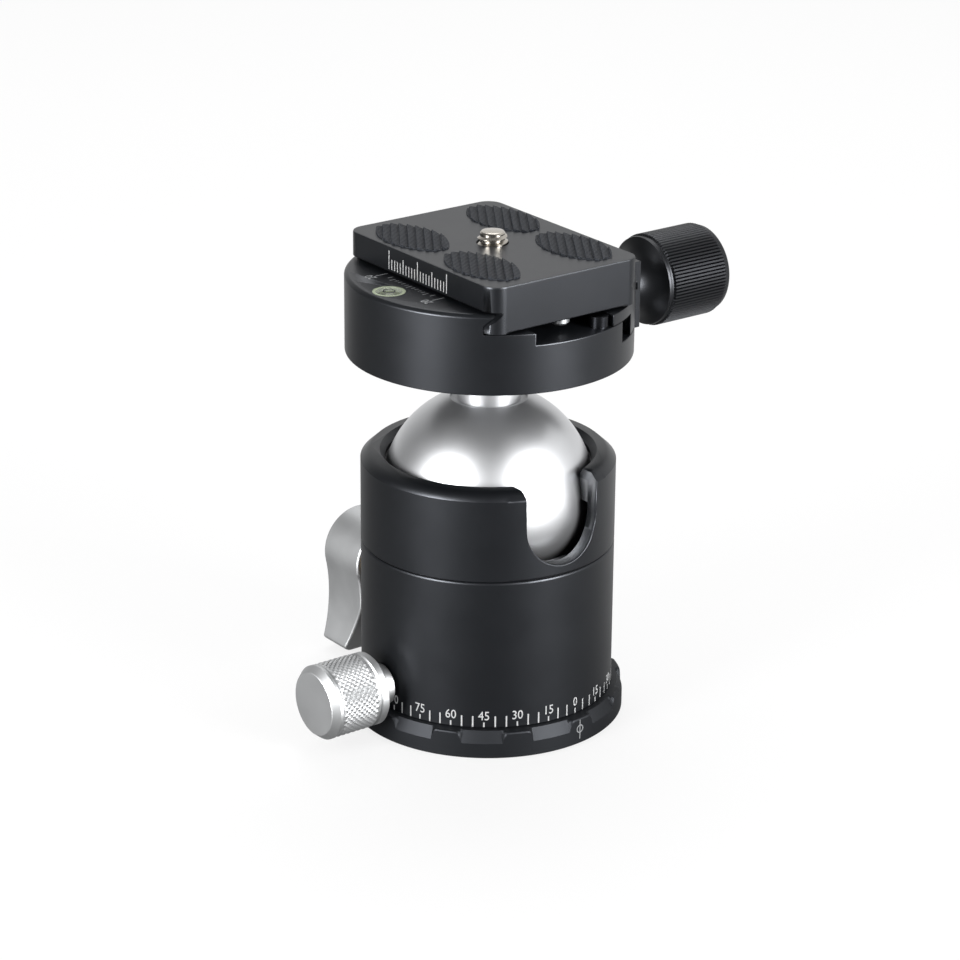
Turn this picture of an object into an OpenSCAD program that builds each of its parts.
// Tripod ball head with a panning base, a drop notch and a dovetail quick release clamp.
// Millimetres. +Z points up the head and the origin is the centre of the base's bottom face.
// The drop notch faces -Y, the clamp knob +X, the ball lock lever +Y and the panning lock -X.

/* [Panning base] */
// How far the base ring stands out past the housing
ring_over = 2.45; // [1.8:0.05:6]
// Height of the base ring
ring_h = 5.9; // [5.4:0.1:8]
// Number of grip lugs round the ring
lug_count = 12; // [8:1:16]
// Width of one grip lug in degrees
lug_deg = 12.5; // [8:0.5:16]
// Angle of the index lug from the front, towards the clamp knob
lug_phase = 6.5; // [0:0.5:15]
// How far the slope between two lugs cuts in
slope_in = 1.25; // [0.6:0.05:1.5]
// Height of the slope between two lugs
slope_h = 2.2; // [1.2:0.1:3]
// Radius of the tripod thread's bore
thread_r = 3.97; // [3.9:0.01:4.8]
// Depth of the tripod thread
thread_depth = 9.4; // [8.5:0.1:10]
// Outer radius of the thread bush
bush_r = 6.5; // [6:0.1:7]
// Radius of the thread bush's flange
bush_flange_r = 8.2; // [7.6:0.1:8.6]
// Radius of the panning spindle
spindle_r = 14; // [13.4:0.1:15]
// Radius of the spindle's threaded neck
spindle_neck_r = 10; // [8:0.1:11]
// Depth of the brake groove in the spindle
groove_d = 1; // [0.6:0.1:1.2]
// Gap between the panning nut and its chamber's wall
nut_gap = 2.5; // [1:0.1:3.5]
// Height of the panning nut
nut_h = 3; // [2:0.1:3.3]
// Thickness of a panning washer
washer_t = 0.55; // [0.4:0.05:0.8]
// Distance of the spindle screws from the axis
spindle_screw_at = 11; // [10.6:0.1:11.2]
// Shank radius of a spindle screw
spindle_screw_r = 1.5; // [1.2:0.1:1.6]

/* [Housing] */
// Outer radius of the housing
body_r = 27; // [24:0.05:31]
// Thickness of the upper housing's wall round its bore
wall_t = 2.75; // [2.5:0.05:4]
// Thickness of the seat ring at the ball's middle
seat_t = 1.75; // [1.55:0.05:2.1]
// Thickness of the upper housing's threaded spigot
spigot_t = 1.35; // [1:0.05:1.8]
// Thickness of the housing floor that runs on the spindle
floor_t = 7.9; // [7.8:0.05:8.2]
// How far the seam between the two housings lies under the ball's centre
seam_down = 10.4; // [9.8:0.1:11.4]
// Width of the bevels at the seam
seam_bevel = 0.3; // [0.1:0.05:0.5]
// Height of the housing's rim above the ball's centre
rim_up = 9.26; // [8.9:0.02:10.4]
// Radial width of the rim's outer bevel
rim_bevel = 2.06; // [1:0.02:2.2]
// Height of the rim's outer bevel
rim_bevel_h = 1.86; // [1:0.02:2.2]
// Width of the bevel inside the rim
rim_in_bevel = 1.15; // [0.6:0.05:1.6]
// Gap between the lip over the seat ring and the ball
lip_gap = 0.3; // [0.2:0.05:0.6]
// Height of the lip's underside above the ball's centre
lip_up = 6.8; // [6.2:0.1:7.2]
// Length of the threaded spigot under the upper housing
spigot_h = 5.95; // [4:0.05:7]
// Half width of the drop notch
notch_w = 9; // [8:0.1:9.4]
// Height of the notch's round bottom's centre above the ball's centre
notch_up = 0.8; // [0.2:0.1:1.4]
// Width and height of the bevel at the notch's top corners
notch_bevel = 0.3; // [0.1:0.1:4]
// Height of the seat ring
seat_h = 4.75; // [3:0.05:5.5]
// Width of the ledge under the pressure cup's flange
cup_ledge = 1.35; // [1:0.05:1.6]
// Width of the ledge under the wear plate
wear_ledge = 2.9; // [2:0.1:3.6]
// Thickness of the wear plate
wear_t = 1.2; // [0.8:0.1:1.4]

/* [Ball] */
// Radius of the ball's neck
neck_r = 6.8; // [6:0.1:7.6]
// Clear height of the neck between the ball's top and the clamp
neck_h = 9.1; // [8.5:0.1:12]
// How far the flat round the neck's root reaches past it
flat_over = 1.4; // [0.8:0.1:2]
// Depth of that flat's outer edge in the ball
flat_cut = 0.4; // [0.2:0.1:0.8]

/* [Panning lock] */
// Height of the panning lock's axis above the housing's bottom face
pan_up = 5.1; // [4.9:0.05:5.2]
// Radius of the panning lock knob
pan_knob_r = 8; // [6.5:0.1:8.2]
// How far the knob's rear face stands off the housing
pan_knob_off = 3.2; // [2.6:0.1:6]
// Length of the panning lock knob
pan_knob_len = 14.8; // [10:0.1:20]
// Radius of the knob's flat end face
pan_face_r = 7; // [5:0.1:7.4]
// Radius of the knob's stem
pan_stem_r = 4.4; // [3:0.1:5]
// Radius of the panning lock's screw
pan_screw_r = 2; // [1.6:0.1:2.1]
// Radius of the brake shoe
shoe_r = 2.5; // [2.2:0.1:2.6]
// Length of the brake shoe's round part
shoe_len = 4.5; // [3:0.1:6]
// Outer radius of the brass bush in the wall
pan_bush_r = 3.5; // [3:0.1:4]
// Room behind the brake shoe, up to that bush
shoe_room = 1.8; // [1:0.1:3]

/* [Ball lock] */
// Height of the lock shaft's axis above the wedge's track
lock_up = 3.45; // [3.3:0.05:4]
// Radius of the lock shaft
shaft_r = 3; // [2.5:0.1:3.1]
// How far the lever's outer face stands off the housing
lever_off = 17; // [15.5:0.1:20]
// Thickness of the lever at its pivot
lever_t = 12.2; // [9:0.1:12.6]
// Thickness of the lever at its tip
lever_tip_t = 8; // [5:0.1:9]
// Height above the tip at which the lever starts to get thinner
lever_taper_h = 11; // [6:0.1:13]
// Half width of the lever's head
lever_head_w = 12.45; // [11.6:0.05:13.5]
// Corner radius of the lever's head
lever_head_r = 9; // [6:0.1:11]
// Half width of the lever's waist
lever_waist_w = 11.47; // [9:0.05:11.6]
// Radius of the hollow sides of the lever
lever_side_r = 32.8; // [30:0.1:80]
// Height of the lever's head above the pivot
lever_up = 9.3; // [8.5:0.1:11]
// Length of the lever below the pivot
lever_down = 19.8; // [17:0.1:20.4]
// Radius about the pivot that trims the lever's tip corners
lever_swing_r = 22.9; // [20.5:0.1:23.2]
// Height of the waist below the pivot
lever_waist_down = 8.7; // [7:0.1:10]
// Radius of the lever's inner boss
lever_boss_r = 7; // [5:0.1:8]
// Radius of the shaft bush
lock_bush_r = 4.5; // [4:0.1:5]
// Radius of the shaft bush's collar
lock_collar_r = 6.5; // [5.5:0.1:7.5]
// Height of that collar
lock_collar_h = 3.4; // [2.6:0.1:3.8]
// Height from the wedge's track to the pressure cup
lock_h = 4.35; // [4.2:0.05:5]
// Thickness of the wedge's heel, which the shaft pushes
heel_t = 2; // [1.5:0.1:2.5]
// Rise of the wedge per millimetre of travel
wedge_slope = 0.25; // [0.15:0.01:0.26]
// Half width of the wedge
wedge_w = 7; // [5:0.1:9]
// Travel of the lock shaft over the lever's turn
lock_travel = 0.67; // [0.3:0.01:0.7]
// Thickness of the pressure cup under the pad
cup_t = 1.55; // [1.2:0.05:2.5]
// How far the pressure cup's top edge lies under the ball's centre
cup_down = 8.6; // [7.2:0.1:10]
// Thickness of the ball pad
pad_t = 1.45; // [1.2:0.05:1.5]
// Half angle of the ball pad's cap
pad_deg = 36; // [20:1:36]

/* [Clamp] */
// Radius of the clamp
clamp_r = 30.15; // [29.6:0.05:32]
// Height of the clamp, to its jaws' top faces
clamp_h = 17; // [16.8:0.1:18]
// Bevel along the clamp's edges
clamp_bevel = 0.7; // [0.2:0.05:1]
// Height of the shelf under the moving jaw
shelf_h = 5.7; // [5.3:0.1:6]
// Height of the floor pockets
pocket_h = 10.3; // [10.2:0.1:10.6]
// Height of the clamp floor
floor_h = 12.8; // [12.6:0.1:12.9]
// Half width of the floor pockets
pocket_w = 9.75; // [8:0.05:9.8]
// Half width of the island between the pockets
island_w = 10.5; // [8:0.1:12]
// Inner end of the jaw's tongue
tongue_x = 10; // [9.9:0.05:11]
// Face of the clamp body towards the moving jaw
body_face_x = 13.8; // [13:0.1:14.5]
// Inner face of the moving jaw's leg
jaw_face_x = 18; // [17.4:0.1:18.6]
// Outer face of the moving jaw's pad
jaw_pad_x = 31.7; // [31.6:0.05:33]
// Half width of the moving jaw's pad
jaw_pad_w = 10.7; // [8:0.1:12]
// Height of the pad's lower edge above the clamp's underside
jaw_pad_h = 1.2; // [0.5:0.1:3]
// Radius of the clamp bolt
bolt_r = 3; // [2.5:0.1:3.1]
// Head radius of the clamp bolt
bolt_head_r = 5; // [4.5:0.1:5.1]
// Head height of the clamp bolt
bolt_head_h = 4; // [3:0.1:4.2]
// How deep the clamp bolt reaches into the neck
bolt_depth = 14; // [8:0.5:15]
// Radius of the stop post
post_r = 2; // [1.5:0.1:2.05]
// Distance of the guide pins from the clamp screw
pin_y = 17; // [15:0.5:18]
// Radius of a guide pin
pin_r = 1.2; // [1:0.05:1.25]
// Height of the guide pins above the clamp's underside
pin_h = 8.1; // [8:0.05:8.2]
// Wire radius of a jaw spring
spring_wire_r = 0.25; // [0.15:0.01:0.28]
// Turns of a jaw spring
spring_turns = 6; // [4:1:8]
// Radius of the level's cup
level_r = 3.4; // [2.8:0.1:3.5]
// Distance of the level from the clamp's axis
level_at = 25.5; // [25:0.1:25.6]
// Depth of the level's cup
level_d = 4.9; // [3:0.1:6]

/* [Clamp knob] */
// Height of the clamp screw above the clamp's underside
screw_h = 7; // [6.9:0.05:7.1]
// Radius of the clamp screw
screw_r = 3; // [2.5:0.1:3.1]
// Radius of the clamp knob
knob_r = 10; // [8.5:0.1:12]
// Where the knob's rim starts, from the clamp's axis
knob_rim_at = 40.4; // [38:0.1:44]
// Outer end of the clamp knob
knob_end = 58.4; // [52:0.1:64]
// Radius of the knob's neck
knob_neck_r = 5; // [4:0.1:5.4]
// Thickness of the thrust washer
thrust_t = 0.6; // [0.4:0.1:1]

/* [Plate] */
// Width of the plate
plate_w = 38; // [37.9:0.02:38.1]
// Length of the plate
plate_len = 51; // [50:0.5:60]
// Underside of the plate above the clamp's underside
plate_h = 13.2; // [13:0.1:13.4]
// Thickness of the plate
plate_t = 9.8; // [9:0.1:11]
// Thickness of the plate's top flange
flange_t = 5.3; // [4.4:0.1:5.4]
// Half width of the plate's neck
dove_neck_w = 16.3; // [16:0.05:16.5]
// Height of the dovetail foot's upright side
dove_foot_h = 1.3; // [1:0.05:1.4]
// Corner radius of the plate
plate_corner = 3.6; // [2:0.1:6]
// Where the plate's middle stands along the clamp
plate_y = -0.8; // [-2:0.1:2]
// Half length of a rubber pad
pad_half_len = 10.5; // [8:0.1:11]
// Half width of a rubber pad
pad_half_w = 5.4; // [4:0.1:6]
// Distance of the pads from the plate's middle, across the plate
pad_x = 11.7; // [11:0.1:12]
// Distance of the pads from the plate's middle, along the plate
pad_y = 12; // [11.8:0.1:13]
// Depth of the pad recesses
pad_recess = 0.8; // [0.5:0.1:1.5]
// How far the pads stand out of the plate
pad_proud = 0.5; // [0.2:0.1:1]
// Distance of the stop screws from the plate's middle
stop_at = 22.7; // [20:0.1:23]
// Radius of the camera screw
cam_r = 3.175; // [3.1:0.005:3.3]
// How far the camera screw stands out of the plate
cam_out = 2.6; // [2:0.1:5]
// Radius of the camera screw's head
cam_head_r = 6.5; // [5.5:0.1:7]
// Height of the camera screw's head
cam_head_h = 2.4; // [2:0.1:3]
// Lift of the camera screw
cam_lift = 2; // [1:0.1:2.2]

/* [Hidden] */
$fn = 96;

// Clearances: between still pieces, between running pieces, and the overrun of a cut
fit_c = 0.03;
run_c = 0.05;
eps = 1;

// Radii that follow the housing
ring_r = body_r + ring_over;
bore_r = body_r - wall_t;
ball_r = bore_r - seat_t;
spigot_r = bore_r + spigot_t;
cavity_r = bore_r - cup_ledge;
chamber_r = cavity_r - wear_ledge;
nut_r = chamber_r - nut_gap;
seat_sphere_r = ball_r + run_c;
pad_out_r = seat_sphere_r + pad_t;
cup_sphere_r = pad_out_r + run_c;
flat_r = neck_r + flat_over;

// Base and housing floor, from the bottom up
pan_gap = 0.1;
floor_z0 = ring_h + pan_gap;
floor_z1 = floor_z0 + floor_t;
pan_z = floor_z0 + pan_up;
shoulder_z = floor_z1 + run_c;
nut_z = shoulder_z + washer_t;
nut_top_z = nut_z + nut_h;
wear_z = nut_top_z + 0.5;
wear_top_z = wear_z + wear_t;
groove_half_h = 1.6 * groove_d;
bush_flange_t = 1.5;
washer_out_r = ring_r - 5;

// Ball lock, along +Y, and the heights that stand on it
wedge_z = wear_top_z + run_c;
lock_z = wedge_z + lock_up;
cup_base_z = wedge_z + lock_h;
wedge_top_z = cup_base_z - 0.35;
ball_z = cup_base_z + cup_t + cup_sphere_r;
wedge_y0 = -5;
wedge_y1 = 7;
heel_y1 = cavity_r - lock_travel - 0.43;
heel_y0 = heel_y1 - heel_t;
cup_low_r = heel_y0 - 0.3;
cup_r = bore_r - run_c;
cup_top_z = ball_z - cup_down;
flat_z = ball_z + sqrt(pow(ball_r, 2) - pow(flat_r, 2)) - flat_cut;
spot_y = sqrt(pow(body_r, 2) - pow(lock_collar_r, 2));
boss_y0 = spot_y + lock_collar_h + run_c;
lever_out = body_r + lever_off;
lever_in = lever_out - lever_t;
lever_hub_t = 4;
lever_sink = 3;
lever_screw_l = 8;
pan_knob_at = body_r + pan_knob_off;
pan_bush_in = 0.4;
shoe_x0 = spindle_r + 0.1;
shoe_x1 = shoe_x0 + shoe_len;
pan_bush_x0 = shoe_x1 + shoe_room;

// Housing, about the ball's centre
seam_z = ball_z - seam_down;
spigot_z = seam_z - spigot_h;
cup_ledge_z = spigot_z - 2.45;
cup_step_z = cup_ledge_z + 0.6;
rim_z = ball_z + rim_up;
bevel_z = rim_z - rim_bevel_h;
lip_z = ball_z + lip_up;
lip_flat_z = lip_z + 1;
lip_r = sqrt(pow(ball_r, 2) - pow(lip_up, 2)) + lip_gap;
rim_in_r = lip_r + rim_in_bevel;
notch_z = ball_z + notch_up;
clamp_z = ball_z + ball_r + neck_h;

// Clamp levels
shelf_z = clamp_z + shelf_h;
pocket_z = clamp_z + pocket_h;
clamp_floor_z = clamp_z + floor_h;
jaw_top_z = clamp_z + clamp_h;
screw_z = clamp_z + screw_h;
pin_z = clamp_z + pin_h;
jaw_bottom_z = shelf_z + 0.1;
spring_r = pin_r + 0.1 + spring_wire_r;
spring_bore_r = spring_r + spring_wire_r + 0.1;
pin_x0 = 3;
pin_grip = 5;
spring_x0 = 10;
spring_x1 = jaw_face_x;
bolt_head_z = pocket_z - bolt_head_h;
neck_top_z = clamp_z - run_c;
stud_deg = 53;
stud_z = jaw_top_z - 3.2;
level_bore_r = level_r + run_c;
screw_x0 = bolt_head_r + 1.3;

// Plate levels and its dovetail, with half widths from the plate's middle
plate_z = clamp_z + plate_h;
plate_top_z = plate_z + plate_t;
flange_z = plate_top_z - flange_t;
dove_w = plate_w / 2;
dove_foot_z = plate_z + dove_foot_h;
dove_gap = 0.05;
jaw_in_x = dove_w + dove_gap;
jaw_side_z = dove_foot_z + dove_gap;
jaw_lip_x = jaw_in_x - (jaw_top_z - jaw_side_z);
cam_shank_r = cam_r - 0.6;
cam_recess_r = cam_head_r + 0.5;
clip_z = plate_z + 0.1;
clip_t = 0.5;
cam_head_z = clip_z + clip_t + run_c;
cam_washer_z = cam_head_z + cam_head_h;
cam_washer_t = 0.6;
cam_recess_z = cam_washer_z + cam_washer_t + cam_lift + run_c;
stop_head_r = 2;
stop_r = 1.3;
stop_grip = 3.9;

// A ring with a plain bore between two heights
module ring(r_out, r_in, z0, z1) {
    translate([0, 0, z0]) difference() {
        cylinder(r = r_out, h = z1 - z0);
        translate([0, 0, -eps]) cylinder(r = r_in, h = z1 - z0 + 2 * eps);
    }
}

// A round bar between two heights
module rod(r, z0, z1) {
    translate([0, 0, z0]) cylinder(r = r, h = z1 - z0);
}

// Turns children so that their +Z points outwards at height z, at an angle from the front
module outwards(angle, z) {
    translate([0, 0, z]) rotate([0, 0, angle - 90]) rotate([0, 90, 0]) children();
}

// A box given by its two corners
module box(low, high) {
    translate(low) cube(high - low);
}

// The clamp's round outline over a range of heights, with a bevel at its top edge
module clamp_disc(z0, z1, bevel) {
    rotate_extrude() polygon([[0, z0], [clamp_r, z0], [clamp_r, z1 - bevel],
        [clamp_r - bevel, z1], [0, z1]]);
}

// A slab across the clamp from a side outline in X and Z
module along_y(points, half_len) {
    translate([0, half_len, 0]) rotate([90, 0, 0]) linear_extrude(2 * half_len) polygon(points);
}

// ---- Panning base ----

module base_ring() {
    lug_step = 360 / lug_count;
    color([0.12, 0.12, 0.13]) difference() {
        union() {
            rotate_extrude() polygon([[0, 0], [ring_r - 0.3, 0], [ring_r, 0.3],
                [ring_r, ring_h - slope_h], [ring_r - slope_in, ring_h], [0, ring_h]]);
            for (i = [0 : lug_count - 1]) outwards(lug_phase + i * lug_step, 0)
                intersection() {
                    rotate([0, -90, 0]) rod(ring_r, 0, ring_h);
                    box([-ring_h - eps, -ring_r * tan(lug_deg / 2), ring_r - 4],
                        [eps, ring_r * tan(lug_deg / 2), ring_r + eps]);
                }
        }
        rod(bush_r + fit_c, -eps, ring_h + eps);
        rod(bush_flange_r + fit_c, ring_h - bush_flange_t, ring_h + eps);
        ring(washer_out_r + fit_c, spindle_r, ring_h - washer_t + pan_gap / 2, ring_h + eps);
        for (a = [0 : 120 : 240]) rotate([0, 0, a]) translate([spindle_screw_at, 0, 0]) {
            rod(spindle_screw_r + fit_c, -eps, ring_h + eps);
            spindle_screw_head(fit_c, -eps);
        }
    }
}

module tripod_bush() {
    color([0.66, 0.66, 0.68]) difference() {
        union() {
            rod(bush_r, 0, thread_depth);
            rod(bush_flange_r, ring_h - bush_flange_t, ring_h);
        }
        rod(thread_r, -eps, thread_depth + eps);
    }
}

module pan_spindle() {
    color([0.72, 0.72, 0.74]) difference() {
        rotate_extrude() polygon([[0, ring_h], [spindle_r, ring_h],
            [spindle_r, pan_z - groove_half_h], [spindle_r - groove_d, pan_z],
            [spindle_r, pan_z + groove_half_h], [spindle_r, shoulder_z],
            [spindle_neck_r, shoulder_z], [spindle_neck_r, nut_top_z], [0, nut_top_z]]);
        rod(bush_r + fit_c, ring_h - eps, thread_depth + fit_c);
        rod(bush_r - 1.5, thread_depth - eps, thread_depth + 3.5);
        for (a = [0 : 120 : 240]) rotate([0, 0, a]) translate([spindle_screw_at, 0, 0])
            rod(spindle_screw_r + fit_c, ring_h - eps, shoulder_z - 2);
    }
}

module spindle_screw_head(grow, z0) {
    head_z = 0.3;
    rod(2 * spindle_screw_r + grow, z0, head_z + grow);
    translate([0, 0, head_z + grow])
        cylinder(r1 = 2 * spindle_screw_r + grow, r2 = spindle_screw_r, h = spindle_screw_r);
}

module spindle_screws() {
    socket_r = 0.6 * spindle_screw_r;
    color([0.5, 0.5, 0.52]) for (a = [0 : 120 : 240]) rotate([0, 0, a])
        translate([spindle_screw_at, 0, 0]) difference() {
            union() {
                spindle_screw_head(0, 0.1);
                rod(spindle_screw_r, 0.3, shoulder_z - 2.2);
            }
            translate([0, 0, -eps]) cylinder(r = socket_r, h = eps + 1, $fn = 6);
        }
}

module pan_washer_lower() {
    color([0.85, 0.84, 0.8]) ring(washer_out_r, spindle_r + fit_c,
        ring_h - washer_t + pan_gap / 2, ring_h + pan_gap / 2);
}

module pan_washer_upper() {
    color([0.85, 0.84, 0.8]) ring(nut_r, spindle_neck_r + fit_c, shoulder_z, nut_z);
}

module pan_nut() {
    slot_w = 1.5;
    color([0.6, 0.6, 0.62]) difference() {
        ring(nut_r, spindle_neck_r + fit_c, nut_z, nut_top_z);
        for (a = [0, 90]) rotate([0, 0, a])
            box([-nut_r - eps, -slot_w, nut_top_z - 1.2], [nut_r + eps, slot_w, nut_top_z + eps]);
    }
}

// ---- Housing ----

module lower_housing() {
    color([0.14, 0.14, 0.15]) difference() {
        rotate_extrude() polygon([[spindle_r + run_c, floor_z0], [body_r, floor_z0],
            [body_r, seam_z - seam_bevel], [body_r - seam_bevel, seam_z],
            [spigot_r + fit_c, seam_z], [spigot_r + fit_c, spigot_z],
            [bore_r + 0.35, spigot_z], [bore_r + 0.35, cup_ledge_z],
            [cavity_r, cup_ledge_z], [cavity_r, wear_z], [chamber_r, wear_z],
            [chamber_r, floor_z1], [spindle_r + run_c, floor_z1]]);
        outwards(-90, pan_z) {
            rod(shoe_r + run_c, spindle_r - eps, body_r);
            rod(pan_bush_r + fit_c, pan_bush_x0, body_r + eps);
        }
        outwards(180, lock_z) {
            rod(lock_bush_r + fit_c, cavity_r - 2, body_r + eps);
            rod(lock_collar_r + fit_c, spot_y, body_r + eps);
        }
    }
}

// The drop notch, as a cutter through one wall
module notch(y0) {
    translate([0, -y0, 0]) rotate([90, 0, 0]) linear_extrude(body_r) {
        translate([0, notch_z]) circle(r = notch_w);
        translate([-notch_w, notch_z]) square([2 * notch_w, rim_z - notch_z + eps]);
        polygon([[-notch_w, rim_z - notch_bevel], [notch_w, rim_z - notch_bevel],
            [notch_w + notch_bevel + eps, rim_z + eps],
            [-notch_w - notch_bevel - eps, rim_z + eps]]);
    }
}

module upper_housing() {
    color([0.13, 0.13, 0.14]) difference() {
        rotate_extrude() polygon([[bore_r, spigot_z], [spigot_r, spigot_z], [spigot_r, seam_z],
            [body_r - seam_bevel, seam_z], [body_r, seam_z + seam_bevel], [body_r, bevel_z],
            [body_r - rim_bevel, rim_z], [rim_in_r, rim_z], [lip_r, lip_flat_z],
            [lip_r, lip_z], [bore_r, lip_z]]);
        notch(lip_r / 2);
    }
}

module seat_ring() {
    color([0.3, 0.3, 0.31]) difference() {
        ring(bore_r - fit_c, lip_r - 2, lip_z - seat_h, lip_z);
        translate([0, 0, ball_z]) sphere(r = seat_sphere_r);
        notch(lip_r / 2);
    }
}

module wear_plate() {
    color([0.62, 0.62, 0.64]) rod(cavity_r - fit_c, wear_z, wear_top_z);
}

module shaft_bush() {
    color([0.75, 0.6, 0.3]) outwards(180, lock_z) difference() {
        union() {
            rod(lock_bush_r, cavity_r, spot_y + eps);
            rod(lock_collar_r, spot_y, boss_y0 - run_c);
        }
        rod(shaft_r + run_c, cavity_r - 2, boss_y0 + eps);
    }
}

module pan_bush() {
    color([0.75, 0.6, 0.3]) outwards(-90, pan_z)
        ring(pan_bush_r, pan_screw_r + run_c, pan_bush_x0 + fit_c, body_r - pan_bush_in);
}

// ---- Panning lock, along -X ----

module brake_shoe() {
    tip = spindle_r - groove_d + 0.3;
    color([0.72, 0.56, 0.3]) outwards(-90, pan_z) {
        rotate_extrude() polygon([[0, tip], [0.3, tip], [1.3 * groove_d, shoe_x0],
            [shoe_r, shoe_x0], [shoe_r, shoe_x1], [0, shoe_x1]]);
    }
}

module pan_screw() {
    color([0.6, 0.6, 0.62]) outwards(-90, pan_z)
        rod(pan_screw_r, shoe_x1, pan_knob_at + 0.6 * pan_knob_len);
}

module pan_knob() {
    stem_at = body_r + 0.3;
    bevel = pan_knob_r - pan_face_r;
    end = pan_knob_at + pan_knob_len;
    color([0.8, 0.8, 0.82]) outwards(-90, pan_z) difference() {
        rotate_extrude() polygon([[0, stem_at], [pan_stem_r, stem_at],
            [pan_stem_r, pan_knob_at], [pan_knob_r - 0.5, pan_knob_at],
            [pan_knob_r, pan_knob_at + 0.5], [pan_knob_r, end - 1.5 * bevel],
            [pan_face_r, end], [0, end]]);
        rod(pan_screw_r + fit_c, stem_at - eps, pan_knob_at + 0.6 * pan_knob_len + fit_c);
    }
}

// ---- Ball lock, along +Y ----

// Side outline of the wedge under a sloped top, in Y and Z
module wedge_outline(rise) {
    thin_end_z = wedge_top_z - wedge_slope * (wedge_y1 - wedge_y0);
    polygon([[wedge_y0, wedge_z], [wedge_y0, thin_end_z + rise],
        [wedge_y1, wedge_top_z + rise], [wedge_y1, wedge_z]]);
}

module lock_wedge() {
    heel_w = 4;
    color([0.6, 0.6, 0.63]) {
        translate([-wedge_w, 0, 0]) rotate([90, 0, 90]) linear_extrude(2 * wedge_w)
            wedge_outline(0);
        box([-heel_w, wedge_y1 - eps, wedge_z],
            [heel_w, heel_y1, wedge_top_z - wedge_slope * eps]);
        box([-heel_w, heel_y0, wedge_z], [heel_w, heel_y1, lock_z + shaft_r]);
    }
}

module lock_shaft() {
    color([0.68, 0.68, 0.7]) outwards(180, lock_z) difference() {
        rod(shaft_r, heel_y1, lever_out - lever_hub_t);
        rod(shaft_r / 2 + fit_c, lever_out - lever_hub_t - lever_screw_l, lever_out);
    }
}

// Outline of the lever about its pivot, in X and Z
module lever_outline() {
    head_x = lever_head_w - lever_head_r;
    head_y = lever_up - lever_head_r;
    // where the head's arc comes nearest to the hollow side's arc
    side_at = [lever_waist_w + lever_side_r, -lever_waist_down];
    meet_y = head_y - lever_head_r * (head_y - side_at.y) / norm(side_at - [head_x, head_y]);
    intersection() {
        union() {
            for (s = [-1, 1]) translate([s * head_x, head_y]) circle(r = lever_head_r);
            translate([-head_x, head_y - lever_head_r])
                square([2 * head_x, 2 * lever_head_r]);
            difference() {
                translate([-lever_swing_r, -lever_down])
                    square([2 * lever_swing_r, lever_down + meet_y]);
                for (s = [-1, 1]) translate([s * side_at.x, side_at.y])
                    circle(r = lever_side_r, $fn = 180);
            }
        }
        circle(r = lever_swing_r);
    }
}

module lock_lever() {
    tip_z = lock_z - lever_down;
    color([0.78, 0.78, 0.8]) difference() {
        union() {
            translate([0, lever_out, lock_z]) rotate([90, 0, 0])
                linear_extrude(lever_t) lever_outline();
            outwards(180, lock_z) rod(lever_boss_r, boss_y0, lever_in + eps);
        }
        translate([-lever_swing_r - eps, 0, 0]) rotate([90, 0, 90])
            linear_extrude(2 * lever_swing_r + 2 * eps)
            polygon([[lever_in - eps, tip_z - eps], [lever_out - lever_tip_t, tip_z - eps],
                [lever_out - lever_tip_t, tip_z], [lever_in, tip_z + lever_taper_h],
                [lever_in - eps, tip_z + lever_taper_h]]);
        outwards(180, lock_z) {
            rod(shaft_r + fit_c, boss_y0 - eps, lever_out - lever_hub_t + fit_c);
            rod(1.4 * shaft_r + fit_c, lever_out - lever_sink, lever_out + eps);
            rod(shaft_r / 2 + fit_c, lever_out - lever_hub_t - eps, lever_out);
        }
    }
}

module lever_screw() {
    color([0.55, 0.55, 0.57]) outwards(180, lock_z) difference() {
        union() {
            rod(1.4 * shaft_r, lever_out - lever_sink, lever_out - 0.1 * lever_sink);
            rod(shaft_r / 2, lever_out - lever_hub_t - 0.9 * lever_screw_l,
                lever_out - lever_sink);
        }
        translate([0, 0, lever_out - 0.75 * lever_sink])
            cylinder(r = 0.7 * shaft_r, h = lever_sink, $fn = 6);
    }
}

module pressure_cup() {
    foot_w = wedge_w - 0.5;
    foot_y0 = wedge_y0 + 0.5;
    foot_y1 = wedge_y1 - 0.5;
    foot_top_z = (cup_base_z + cup_step_z) / 2;
    color([0.7, 0.7, 0.72]) difference() {
        union() {
            rod(cup_low_r, cup_base_z, cup_step_z + eps);
            rod(cup_r, cup_step_z, cup_top_z);
            translate([-foot_w, 0, 0]) rotate([90, 0, 90]) linear_extrude(2 * foot_w)
                polygon([[foot_y0, wedge_top_z - wedge_slope * (wedge_y1 - foot_y0) + run_c],
                    [foot_y1, wedge_top_z - wedge_slope * (wedge_y1 - foot_y1) + run_c],
                    [foot_y1, foot_top_z], [foot_y0, foot_top_z]]);
        }
        translate([0, 0, ball_z]) sphere(r = cup_sphere_r);
    }
}

module ball_pad() {
    color([0.92, 0.92, 0.88]) translate([0, 0, ball_z]) intersection() {
        difference() {
            sphere(r = pad_out_r);
            sphere(r = seat_sphere_r);
        }
        translate([0, 0, -2 * ball_r])
            cylinder(r1 = 2 * ball_r * tan(pad_deg), r2 = 0, h = 2 * ball_r);
    }
}

// ---- Ball ----

module ball() {
    color([0.8, 0.8, 0.81]) difference() {
        union() {
            difference() {
                translate([0, 0, ball_z]) sphere(r = ball_r, $fn = 128);
                rod(flat_r, flat_z, ball_z + ball_r + eps);
            }
            rod(neck_r, ball_z, neck_top_z);
        }
        rod(bolt_r + run_c, clamp_z - bolt_depth - 1, clamp_z + eps);
    }
}

// ---- Clamp ----

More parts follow.
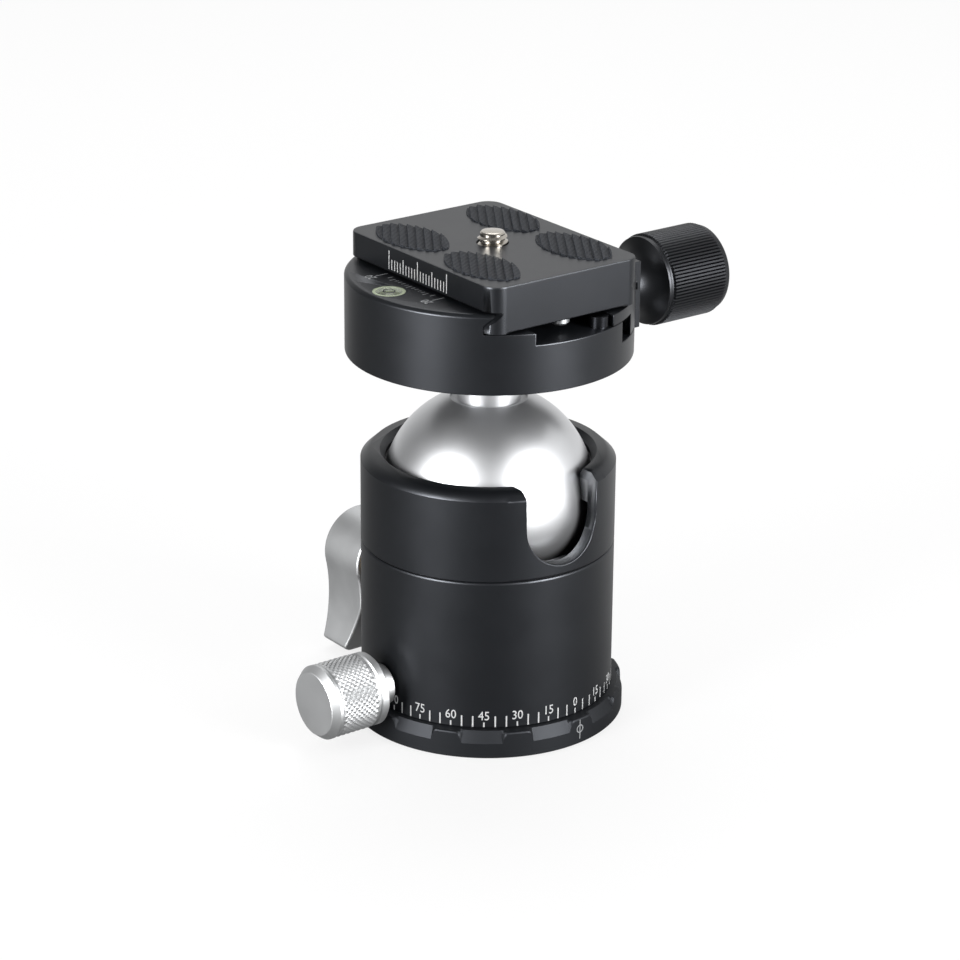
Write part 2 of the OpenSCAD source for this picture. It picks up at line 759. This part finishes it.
module clamp_body() {
    far = clamp_r + eps;
    color([0.13, 0.13, 0.14]) difference() {
        clamp_disc(clamp_z, jaw_top_z, clamp_bevel);
        along_y([[-jaw_in_x, clamp_floor_z], [-jaw_in_x, jaw_side_z], [-jaw_lip_x, jaw_top_z],
            [-jaw_lip_x, jaw_top_z + eps], [far, jaw_top_z + eps], [far, clamp_floor_z]], far);
        box([body_face_x, -far, shelf_z], [far, far, jaw_top_z + eps]);
        box([tongue_x - 0.1, -far, pocket_z], [far, far, jaw_top_z + eps]);
        for (s = [-1, 1]) box([-pocket_w, s > 0 ? island_w : -far, pocket_z],
            [tongue_x, s > 0 ? far : -island_w, clamp_floor_z + eps]);
        rod(bolt_r + fit_c, clamp_z - eps, jaw_top_z);
        rod(bolt_head_r + 0.1, bolt_head_z, jaw_top_z);
        outwards(90, screw_z) rod(screw_r + run_c, screw_x0 - 0.3, far);
        for (s = [-1, 1]) translate([0, s * pin_y, 0]) outwards(90, pin_z) {
            rod(pin_r + run_c, pin_x0 - 0.5, far);
            rod(spring_bore_r, spring_x0 - fit_c, far);
        }
        translate([-level_at, 0, 0]) rod(level_bore_r, jaw_top_z - level_d - fit_c, jaw_top_z + eps);
    }
}

module clamp_bolt() {
    color([0.5, 0.5, 0.52]) difference() {
        union() {
            rod(bolt_head_r, bolt_head_z, pocket_z);
            rod(bolt_r, clamp_z - bolt_depth, bolt_head_z);
        }
        translate([0, 0, pocket_z - 0.6 * bolt_head_h])
            cylinder(r = 0.55 * bolt_head_r, h = bolt_head_h, $fn = 6);
    }
}

module stop_post() {
    color([0.2, 0.2, 0.21]) translate([tongue_x - 0.1 - post_r, -clamp_r + 3.85, 0])
        rod(post_r, pocket_z, clamp_floor_z - 0.1);
}

module at_level() {
    translate([-level_at, 0, 0]) children();
}

module level_cup() {
    color([0.9, 0.9, 0.86]) at_level() difference() {
        rod(level_r, jaw_top_z - level_d, jaw_top_z);
        rod(level_r - 0.65, jaw_top_z - level_d + 1, jaw_top_z + eps);
    }
}

module level_fluid() {
    color([0.78, 0.85, 0.35]) at_level()
        rod(level_r - 0.65 - fit_c, jaw_top_z - level_d + 1, jaw_top_z - 0.8);
}

module level_lens() {
    color([0.9, 0.95, 0.9, 0.4]) at_level()
        rod(level_r - 0.65 - fit_c, jaw_top_z - 0.8, jaw_top_z + 0.05);
}

module moving_jaw() {
    far = jaw_pad_x + eps;
    color([0.15, 0.15, 0.16]) difference() {
        union() {
            intersection() {
                along_y([[tongue_x, pocket_z + run_c], [jaw_face_x, pocket_z + run_c],
                    [jaw_face_x, jaw_bottom_z], [far, jaw_bottom_z], [far, jaw_top_z],
                    [jaw_lip_x, jaw_top_z], [jaw_in_x, jaw_side_z], [jaw_in_x, clamp_floor_z],
                    [tongue_x, clamp_floor_z]], far);
                clamp_disc(clamp_z, jaw_top_z, clamp_bevel);
            }
            box([clamp_r - 4, -jaw_pad_w, jaw_bottom_z], [jaw_pad_x, jaw_pad_w, jaw_top_z - 1.2]);
            box([clamp_r + 0.15, -jaw_pad_w, clamp_z + jaw_pad_h],
                [jaw_pad_x, jaw_pad_w, jaw_top_z - 1.2]);
        }
        outwards(90, screw_z) rod(screw_r + run_c, jaw_face_x - eps, far);
        for (s = [-1, 1]) {
            translate([0, s * pin_y, 0]) outwards(90, pin_z)
                rod(pin_r + fit_c, jaw_face_x - eps, jaw_face_x + pin_grip + fit_c);
            outwards(90 + s * (90 - stud_deg), stud_z) rod(0.9 + fit_c, clamp_r - 2.5, far);
        }
    }
}

module guide_pins() {
    color([0.7, 0.7, 0.72]) for (s = [-1, 1]) translate([0, s * pin_y, 0])
        outwards(90, pin_z) rod(pin_r, pin_x0, jaw_face_x + pin_grip);
}

module jaw_studs() {
    color([0.6, 0.6, 0.62]) for (s = [-1, 1]) outwards(90 + s * (90 - stud_deg), stud_z)
        rod(0.9, clamp_r - 2.5 + fit_c, clamp_r + 0.4);
}

// Point and cross section of the spring's wire at turn t, with its axis along Z
function spring_ring(t, sides) = [for (k = [0 : sides - 1])
    let (u = 360 * k / sides, r = spring_r + spring_wire_r * cos(u),
        z = spring_x0 + spring_wire_r + (spring_x1 - spring_x0 - 2 * spring_wire_r) * t
            / spring_turns + spring_wire_r * sin(u))
    [r * cos(360 * t), r * sin(360 * t), z]];

module jaw_spring() {
    sides = 6;
    steps = 14 * spring_turns;
    points = [for (i = [0 : steps]) each spring_ring(i * spring_turns / steps, sides)];
    walls = [for (i = [0 : steps - 1], k = [0 : sides - 1]) let (n = (k + 1) % sides)
        [i * sides + k, i * sides + n, (i + 1) * sides + n, (i + 1) * sides + k]];
    ends = [[for (k = [sides - 1 : -1 : 0]) k], [for (k = [0 : sides - 1]) steps * sides + k]];
    polyhedron(points, concat(walls, ends), convexity = 10);
}

module jaw_springs() {
    color([0.75, 0.75, 0.77]) for (s = [-1, 1]) translate([0, s * pin_y, 0])
        outwards(90, pin_z) jaw_spring();
}

module thrust_washer() {
    color([0.3, 0.3, 0.3]) outwards(90, screw_z)
        ring(knob_neck_r, screw_r + fit_c, jaw_pad_x + run_c, jaw_pad_x + run_c + thrust_t);
}

module clamp_screw() {
    color([0.62, 0.62, 0.64]) outwards(90, screw_z)
        rod(screw_r, screw_x0, knob_rim_at + 0.5 * (knob_end - knob_rim_at));
}

module clamp_knob() {
    start = jaw_pad_x + run_c + thrust_t;
    flare = knob_rim_at - start;
    color([0.12, 0.12, 0.12]) outwards(90, screw_z) difference() {
        rotate_extrude() polygon([[0, start], [knob_neck_r, start],
            [knob_neck_r, start + 0.4 * flare], [knob_neck_r + 1, start + 0.7 * flare],
            [0.88 * knob_r, knob_rim_at], [0.96 * knob_r, knob_rim_at + 0.6],
            [knob_r, knob_rim_at + 1.2], [knob_r, knob_end - 2.2], [0.96 * knob_r, knob_end - 1],
            [0.88 * knob_r, knob_end - 0.3], [0.8 * knob_r, knob_end], [0, knob_end]]);
        rod(screw_r + fit_c, start - eps, knob_rim_at + 0.5 * (knob_end - knob_rim_at) + fit_c);
    }
}

// ---- Quick release plate ----

module at_plate() {
    translate([0, plate_y, 0]) children();
}

// The plate's outline from above, with true round corners
module plate_outline() {
    x = plate_w / 2;
    y = plate_len / 2;
    square([2 * (x - plate_corner), 2 * y], center = true);
    square([2 * x, 2 * (y - plate_corner)], center = true);
    for (sx = [-1, 1], sy = [-1, 1]) translate([sx * (x - plate_corner), sy * (y - plate_corner)])
        circle(r = plate_corner);
}

// The outline of one rubber pad, grown by a clearance
module pad_outline(grow) {
    arc_r = (pow(pad_half_len, 2) + pow(pad_half_w, 2)) / (2 * pad_half_w);
    intersection() {
        translate([pad_half_w - arc_r, 0]) circle(r = arc_r + grow);
        translate([arc_r - pad_half_w, 0]) circle(r = arc_r + grow);
        square([4 * pad_half_w, 2 * (pad_half_len - 1.2 + grow)], center = true);
    }
}

module at_pads() {
    for (sx = [-1, 1], sy = [-1, 1]) translate([sx * pad_x, sy * pad_y, 0]) children();
}

module plate() {
    y = plate_len / 2 + eps;
    color([0.16, 0.16, 0.17]) at_plate() difference() {
        translate([0, 0, plate_z]) linear_extrude(plate_t) plate_outline();
        for (s = [-1, 1]) along_y([[s * (dove_w + eps), dove_foot_z], [s * dove_w, dove_foot_z],
            [s * dove_neck_w, dove_foot_z + dove_w - dove_neck_w], [s * dove_neck_w, flange_z],
            [s * (dove_w + eps), flange_z]], y);
        rod(cam_recess_r, plate_z - eps, cam_recess_z);
        rod(cam_recess_r + 0.7, clip_z, clip_z + clip_t);
        rod(cam_r + 0.2, cam_recess_z - eps, plate_top_z + eps);
        for (s = [-1, 1]) translate([0, s * stop_at, 0])
            rod(stop_r + fit_c, plate_z - eps, plate_z + stop_grip + fit_c);
        at_pads() translate([0, 0, plate_top_z - pad_recess])
            linear_extrude(pad_recess + eps) pad_outline(fit_c);
    }
}

module plate_pads() {
    color([0.2, 0.2, 0.21]) at_plate() at_pads() translate([0, 0, plate_top_z - pad_recess])
        linear_extrude(pad_recess + pad_proud) pad_outline(0);
}

module stop_screws() {
    color([0.82, 0.82, 0.84]) at_plate() for (s = [-1, 1]) translate([0, s * stop_at, 0]) {
        rod(stop_r, plate_z, plate_z + stop_grip);
        rotate_extrude() polygon([[0, plate_z], [stop_head_r, plate_z],
            [stop_head_r, plate_z - 1], [0.75 * stop_head_r, plate_z - 1.5], [0, plate_z - 1.8]]);
    }
}

module screw_clip() {
    color([0.75, 0.75, 0.77]) at_plate() difference() {
        ring(cam_recess_r + 0.65, cam_head_r - 0.5, clip_z, clip_z + clip_t);
        box([-1.5, -cam_recess_r - 2, clip_z - eps], [1.5, 0, clip_z + clip_t + eps]);
    }
}

module screw_washer() {
    color([0.9, 0.9, 0.88]) at_plate()
        ring(cam_head_r - 0.3, cam_shank_r + run_c, cam_washer_z, cam_washer_z + cam_washer_t);
}

module camera_screw() {
    thread_z = plate_top_z + 0.1;
    tip_z = plate_top_z + cam_out;
    color([0.84, 0.84, 0.86]) at_plate() difference() {
        rotate_extrude() polygon([[0, cam_head_z], [cam_head_r, cam_head_z],
            [cam_head_r, cam_washer_z], [cam_shank_r, cam_washer_z],
            [cam_shank_r, thread_z], [cam_r, thread_z], [cam_r, tip_z - 0.4],
            [cam_r - 0.6, tip_z], [0, tip_z]]);
        box([-cam_head_r - eps, -0.8, cam_head_z - eps], [cam_head_r + eps, 0.8, cam_head_z + 1.3]);
    }
}

base_ring();
tripod_bush();
pan_spindle();
spindle_screws();
pan_washer_lower();
pan_washer_upper();
pan_nut();
lower_housing();
upper_housing();
seat_ring();
wear_plate();
shaft_bush();
pan_bush();
brake_shoe();
pan_screw();
pan_knob();
lock_wedge();
lock_shaft();
lock_lever();
lever_screw();
pressure_cup();
ball_pad();
ball();
clamp_body();
clamp_bolt();
stop_post();
level_cup();
level_fluid();
level_lens();
moving_jaw();
guide_pins();
jaw_studs();
jaw_springs();
thrust_washer();
clamp_screw();
clamp_knob();
plate();
plate_pads();
stop_screws();
screw_clip();
screw_washer();
camera_screw();
